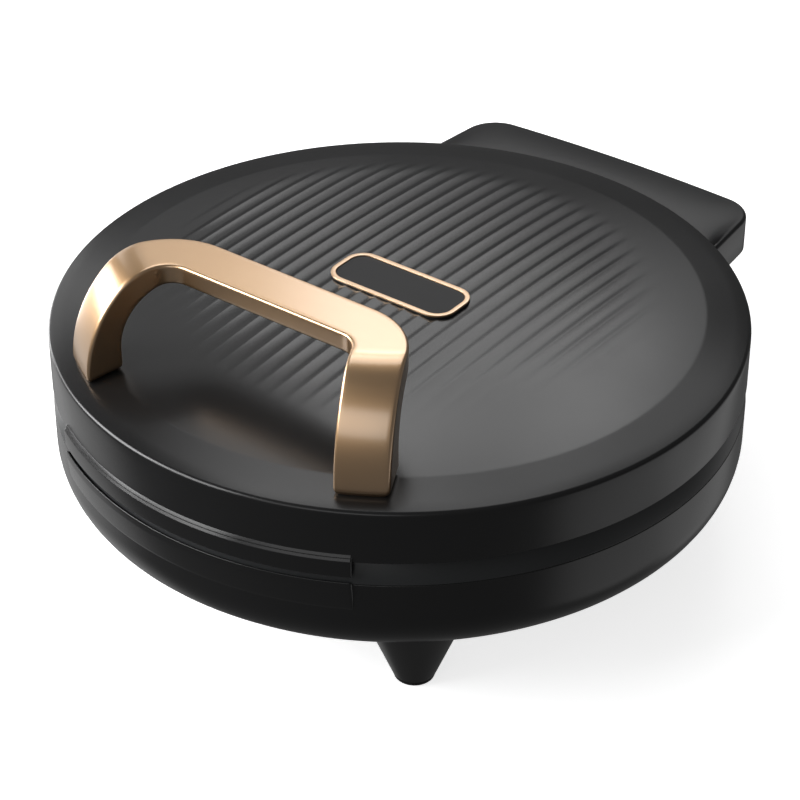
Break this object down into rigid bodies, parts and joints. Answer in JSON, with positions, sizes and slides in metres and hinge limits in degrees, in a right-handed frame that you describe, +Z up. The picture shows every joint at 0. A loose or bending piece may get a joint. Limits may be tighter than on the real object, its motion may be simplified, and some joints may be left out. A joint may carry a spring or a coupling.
{
  "type": "clamshell griddle",
  "caption": "Round countertop griddle: a lid with an arch handle swings on a floating rear hinge over a deep lower plate, on low feet.",
  "frame": {"origin": "on the ground under the middle of the outer box", "axes": "+Z up, +Y towards the hinge at the back, -Y towards the handle, +X to the right seen from the front"},
  "size_m": [0.326, 0.3551, 0.17],
  "materials": {
    "shell_black": "heat-resistant black plastic, satin moulded",
    "collar_black": "heat-resistant black plastic, satin moulded",
    "cover_black": "heat-resistant black plastic, fine grain",
    "champagne_gold": "champagne gold metallic lacquer on plastic, satin",
    "nameplate_dark": "dark bare panel, semi-gloss",
    "coated_aluminium": "die-cast aluminium with dark non-stick coating",
    "heater_steel": "heat-tinted steel tube",
    "shield_aluminium": "bright rolled sheet",
    "plain_steel": "zinc-plated sheet steel",
    "pin_steel": "turned steel",
    "screw_steel": "zinc-plated steel",
    "phenolic": "brown-black phenolic",
    "fuse_metal": "tinned case",
    "terminal_white": "natural nylon",
    "gland_black": "moulded nylon",
    "foot_black": "moulded plastic, satin",
    "pad_rubber": "matt rubber"
  },
  "bodies": {
    "base": {"base_shell": "shell_black", "base_collar": "collar_black", "lower_plate": "coated_aluminium", "lower_heater": "heater_steel", "lower_heat_shield": "shield_aluminium", "lower_thermostat": "phenolic", "thermal_fuse": "fuse_metal", "fuse_clip": "plain_steel", "terminal_block": "terminal_white", "cord_gland": "gland_black", "plate_screws": "screw_steel", "feet": "foot_black", "foot_pads": "pad_rubber", "foot_screws": "screw_steel", "hinge_post": "cover_black", "post_screws": "screw_steel"},
    "carriage": {"hinge_carriage": "plain_steel", "hinge_pin": "pin_steel", "pin_clips": "pin_steel"},
    "lid": {"lid_shell": "shell_black", "lid_frame": "collar_black", "upper_plate": "coated_aluminium", "upper_heater": "heater_steel", "upper_heat_shield": "shield_aluminium", "upper_thermostat": "phenolic", "rim_screws": "screw_steel", "shield_screws": "screw_steel", "handle": "champagne_gold", "handle_screws": "screw_steel", "nameplate_frame": "champagne_gold", "nameplate_insert": "nameplate_dark", "hinge_arms": "plain_steel", "arm_screws": "screw_steel", "hinge_cover": "cover_black", "cover_screws": "screw_steel"}
  },
  "joints": [
    {"name": "hinge_float", "type": "slide", "parent": "base", "child": "carriage", "axis": [0, 0, 1], "range_m": [0, 0.015]},
    {"name": "lid_swing", "type": "hinge", "parent": "carriage", "child": "lid", "pos_m": [0, 0.16205, 0.104], "axis": [-1, 0, 0], "range_deg": [0, 105]}
  ]
}
